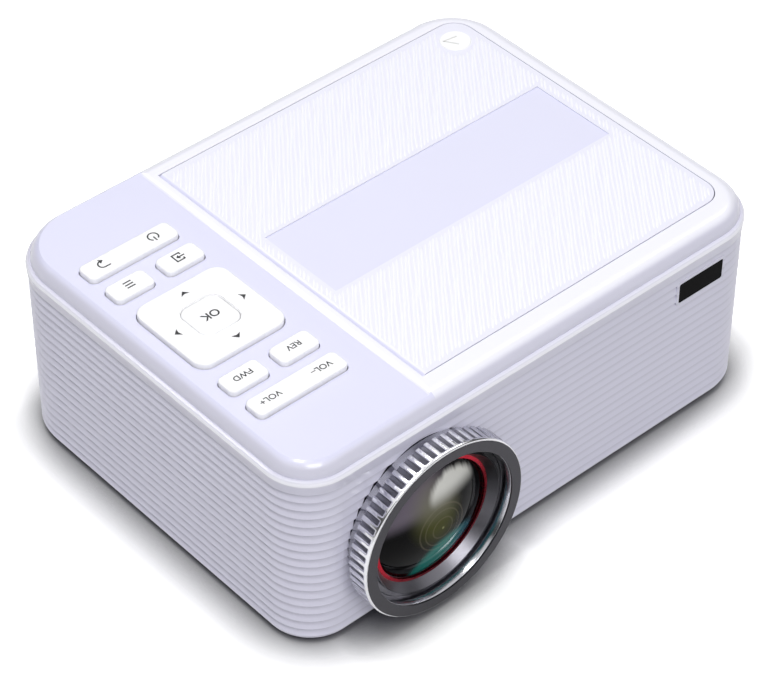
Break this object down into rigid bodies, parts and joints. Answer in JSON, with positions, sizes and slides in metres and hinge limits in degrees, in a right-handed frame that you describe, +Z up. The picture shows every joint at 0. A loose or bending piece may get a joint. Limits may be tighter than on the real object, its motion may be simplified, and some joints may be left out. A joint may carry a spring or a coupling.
{
  "type": "projector with built-in disc player",
  "caption": "Small home projector with a knurled focus ring, ribbed case, key panel and a hinged lid over a disc well.",
  "frame": {"origin": "on the table, within a millimetre of the middle of the overall footprint, focus ring included", "axes": "+X to the right when the lens faces the viewer, towards the disc lid; +Y to the back, away from the lens; +Z up"},
  "size_m": [0.2246, 0.182, 0.0866],
  "materials": {
    "shell_white": "satin moulded",
    "cover_white": "smooth satin gloss",
    "lid_white": "fine diagonal ribs with a smooth band",
    "key_white": "satin",
    "chrome_ring": "polished and knurled",
    "gunmetal": "satin",
    "satin_cone": "satin turned",
    "red_trim": "satin",
    "optical_glass": "coated",
    "dark_window": "gloss",
    "black_plastic": "moulded",
    "deck_grey": "satin moulded",
    "steel": "plated",
    "heat_sink_metal": "extruded",
    "insert_brass": "turned",
    "circuit_board": "solder mask",
    "soft_rubber": "matte"
  },
  "bodies": {
    "housing": {"lower_shell": "shell_white", "top_cover": "cover_white", "disc_deck": "deck_grey", "traverse_frame": "steel", "rubber_dampers": "soft_rubber", "guide_rods": "steel", "spindle_motor": "steel", "feed_motor": "steel", "latch_body": "black_plastic", "key_board": "circuit_board", "lens_mount": "black_plastic", "light_box": "black_plastic", "front_fresnel": "optical_glass", "rear_fresnel": "optical_glass", "heat_glass": "optical_glass", "display_panel": "dark_window", "condenser_lens": "optical_glass", "led_board": "circuit_board", "heat_sink": "heat_sink_metal", "fan_frame": "black_plastic", "main_board": "circuit_board", "power_board": "circuit_board", "receiver_board": "circuit_board", "ir_window": "dark_window", "speaker": "black_plastic", "power_inlet": "black_plastic", "video_socket": "steel", "usb_socket": "steel", "audio_video_jack": "black_plastic", "headphone_jack": "black_plastic", "rubber_feet": "soft_rubber", "tripod_insert": "insert_brass", "case_screws": "steel"},
    "lid": {"disc_lid": "lid_white", "lid_hinge_pins": "steel"},
    "latch": {"latch_slider": "black_plastic"},
    "turntable": {"turntable": "black_plastic"},
    "sled": {"pickup_sled": "black_plastic", "objective_lens": "optical_glass"},
    "feed_screw": {"lead_screw": "steel"},
    "fan": {"fan_rotor": "black_plastic"},
    "focus_ring": {"focus_ring": "chrome_ring", "ring_face": "gunmetal"},
    "lens_cell": {"lens_cell": "satin_cone", "lens_trim_ring": "red_trim", "front_glass": "optical_glass", "rear_glass": "optical_glass"},
    "pad_frame": {"pad_frame": "deck_grey"},
    "power_bar": {"power_bar": "key_white"},
    "menu_key": {"menu_key": "key_white"},
    "source_key": {"source_key": "key_white"},
    "direction_pad": {"direction_pad": "key_white"},
    "ok_key": {"ok_key": "key_white"},
    "forward_key": {"forward_key": "key_white"},
    "reverse_key": {"reverse_key": "key_white"},
    "volume_bar": {"volume_bar": "key_white"}
  },
  "joints": [
    {"name": "lid_hinge", "type": "hinge", "parent": "housing", "child": "lid", "pos_m": [-0.0454, 0.00645, 0.083], "axis": [0, -1, 0], "range_deg": [0, 75]},
    {"name": "latch_slide", "type": "slide", "parent": "housing", "child": "latch", "axis": [1, 0, 0], "range_m": [0, 0.0015], "stiffness_N_per_m": 600},
    {"name": "turntable_spin", "type": "hinge", "parent": "housing", "child": "turntable", "pos_m": [0.02637, 0.00645, 0.075], "axis": [0, 0, 1], "continuous": true},
    {"name": "sled_slide", "type": "slide", "parent": "housing", "child": "sled", "axis": [1, 0, 0], "range_m": [0, 0.034]},
    {"name": "feed_screw_turn", "type": "hinge", "parent": "housing", "child": "feed_screw", "pos_m": [0.06, -0.01605, 0.0666], "axis": [1, 0, 0], "range_deg": [0, 4084]},
    {"name": "fan_spin", "type": "hinge", "parent": "housing", "child": "fan", "pos_m": [-0.102, 0.024, 0.0385], "axis": [1, 0, 0], "continuous": true},
    {"name": "focus_turn", "type": "hinge", "parent": "housing", "child": "focus_ring", "pos_m": [-0.0599, -0.085, 0.03877], "axis": [0, 1, 0], "range_deg": [-40, 40]},
    {"name": "lens_focus", "type": "slide", "parent": "housing", "child": "lens_cell", "axis": [0, -1, 0], "range_m": [-0.0018, 0.0018]},
    {"name": "power_rock", "type": "hinge", "parent": "housing", "child": "power_bar", "pos_m": [-0.0828, 0.0509, 0.0811], "axis": [0, 1, 0], "range_deg": [-2, 2], "stiffness_Nm_per_rad": 0.7},
    {"name": "volume_rock", "type": "hinge", "parent": "housing", "child": "volume_bar", "pos_m": [-0.0828, -0.0412, 0.0811], "axis": [0, 1, 0], "range_deg": [-2, 2], "stiffness_Nm_per_rad": 0.7},
    {"name": "menu_press", "type": "slide", "parent": "housing", "child": "menu_key", "axis": [0, 0, -1], "range_m": [0, 0.001], "stiffness_N_per_m": 900},
    {"name": "source_press", "type": "slide", "parent": "housing", "child": "source_key", "axis": [0, 0, -1], "range_m": [0, 0.001], "stiffness_N_per_m": 900},
    {"name": "forward_press", "type": "slide", "parent": "housing", "child": "forward_key", "axis": [0, 0, -1], "range_m": [0, 0.001], "stiffness_N_per_m": 900},
    {"name": "reverse_press", "type": "slide", "parent": "housing", "child": "reverse_key", "axis": [0, 0, -1], "range_m": [0, 0.001], "stiffness_N_per_m": 900},
    {"name": "ok_press", "type": "slide", "parent": "housing", "child": "ok_key", "axis": [0, 0, -1], "range_m": [0, 0.001], "stiffness_N_per_m": 900},
    {"name": "pad_tilt_x", "type": "hinge", "parent": "housing", "child": "pad_frame", "pos_m": [-0.0828, 0.0051, 0.08], "axis": [1, 0, 0], "range_deg": [-1.4, 1.4], "stiffness_Nm_per_rad": 0.9},
    {"name": "pad_tilt_y", "type": "hinge", "parent": "pad_frame", "child": "direction_pad", "pos_m": [-0.0828, 0.0051, 0.08], "axis": [0, 1, 0], "range_deg": [-1.4, 1.4], "stiffness_Nm_per_rad": 0.9}
  ],
  "couplings": [
    {"joint": "feed_screw_turn", "follows": "sled_slide", "rad_per_m": 2094.4},
    {"joint": "lens_focus", "follows": "focus_turn", "m_per_rad": 0.0024}
  ]
}
